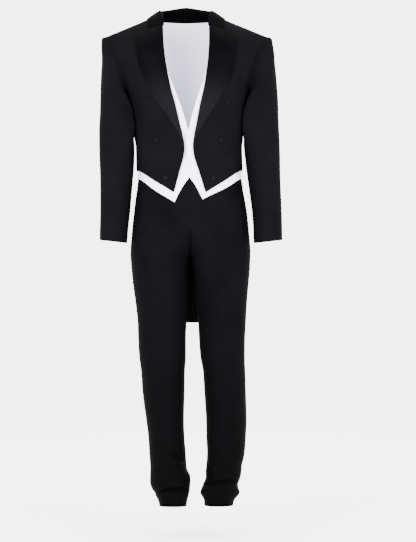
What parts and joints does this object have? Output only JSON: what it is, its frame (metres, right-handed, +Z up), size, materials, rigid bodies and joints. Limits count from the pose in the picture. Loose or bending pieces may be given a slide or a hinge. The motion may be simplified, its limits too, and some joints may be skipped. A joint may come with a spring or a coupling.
{
  "type": "three-piece evening suit",
  "caption": "Evening dress suit standing hollow as if worn: black tailcoat with satin peak lapels, white waistcoat and black trousers.",
  "frame": {"origin": "centre of the neck at shoulder height, where the wearer's shoulders hold the suit", "axes": "+Z up, -Y the way the wearer faces, +X to the wearer's left"},
  "size_m": [0.5501, 0.2787, 1.5099],
  "materials": {
    "coat_wool": "matt wool twill",
    "trouser_wool": "matt wool twill",
    "satin": "satin weave",
    "white_cotton": "matt cotton"
  },
  "bodies": {
    "root": {"back_L": "coat_wool", "back_R": "coat_wool", "coat_button_L1": "satin", "coat_button_L2": "satin", "coat_button_L3": "satin", "coat_button_R1": "satin", "coat_button_R2": "satin", "coat_button_R3": "satin", "collar": "coat_wool", "fly": "trouser_wool", "forepart_L": "coat_wool", "forepart_R": "coat_wool", "lapel_L": "satin", "lapel_R": "satin", "side_body_L": "coat_wool", "side_body_R": "coat_wool", "skirt_L": "coat_wool", "skirt_R": "coat_wool", "top_sleeve_L": "coat_wool", "top_sleeve_R": "coat_wool", "trouser_back_L": "trouser_wool", "trouser_back_R": "trouser_wool", "trouser_front_L": "trouser_wool", "trouser_front_R": "trouser_wool", "under_sleeve_L": "coat_wool", "under_sleeve_R": "coat_wool", "waistband": "trouser_wool", "waistcoat_back": "white_cotton", "waistcoat_button_1": "white_cotton", "waistcoat_button_2": "white_cotton", "waistcoat_button_3": "white_cotton", "waistcoat_front_L": "white_cotton", "waistcoat_front_R": "white_cotton"}
  },
  "joints": []
}
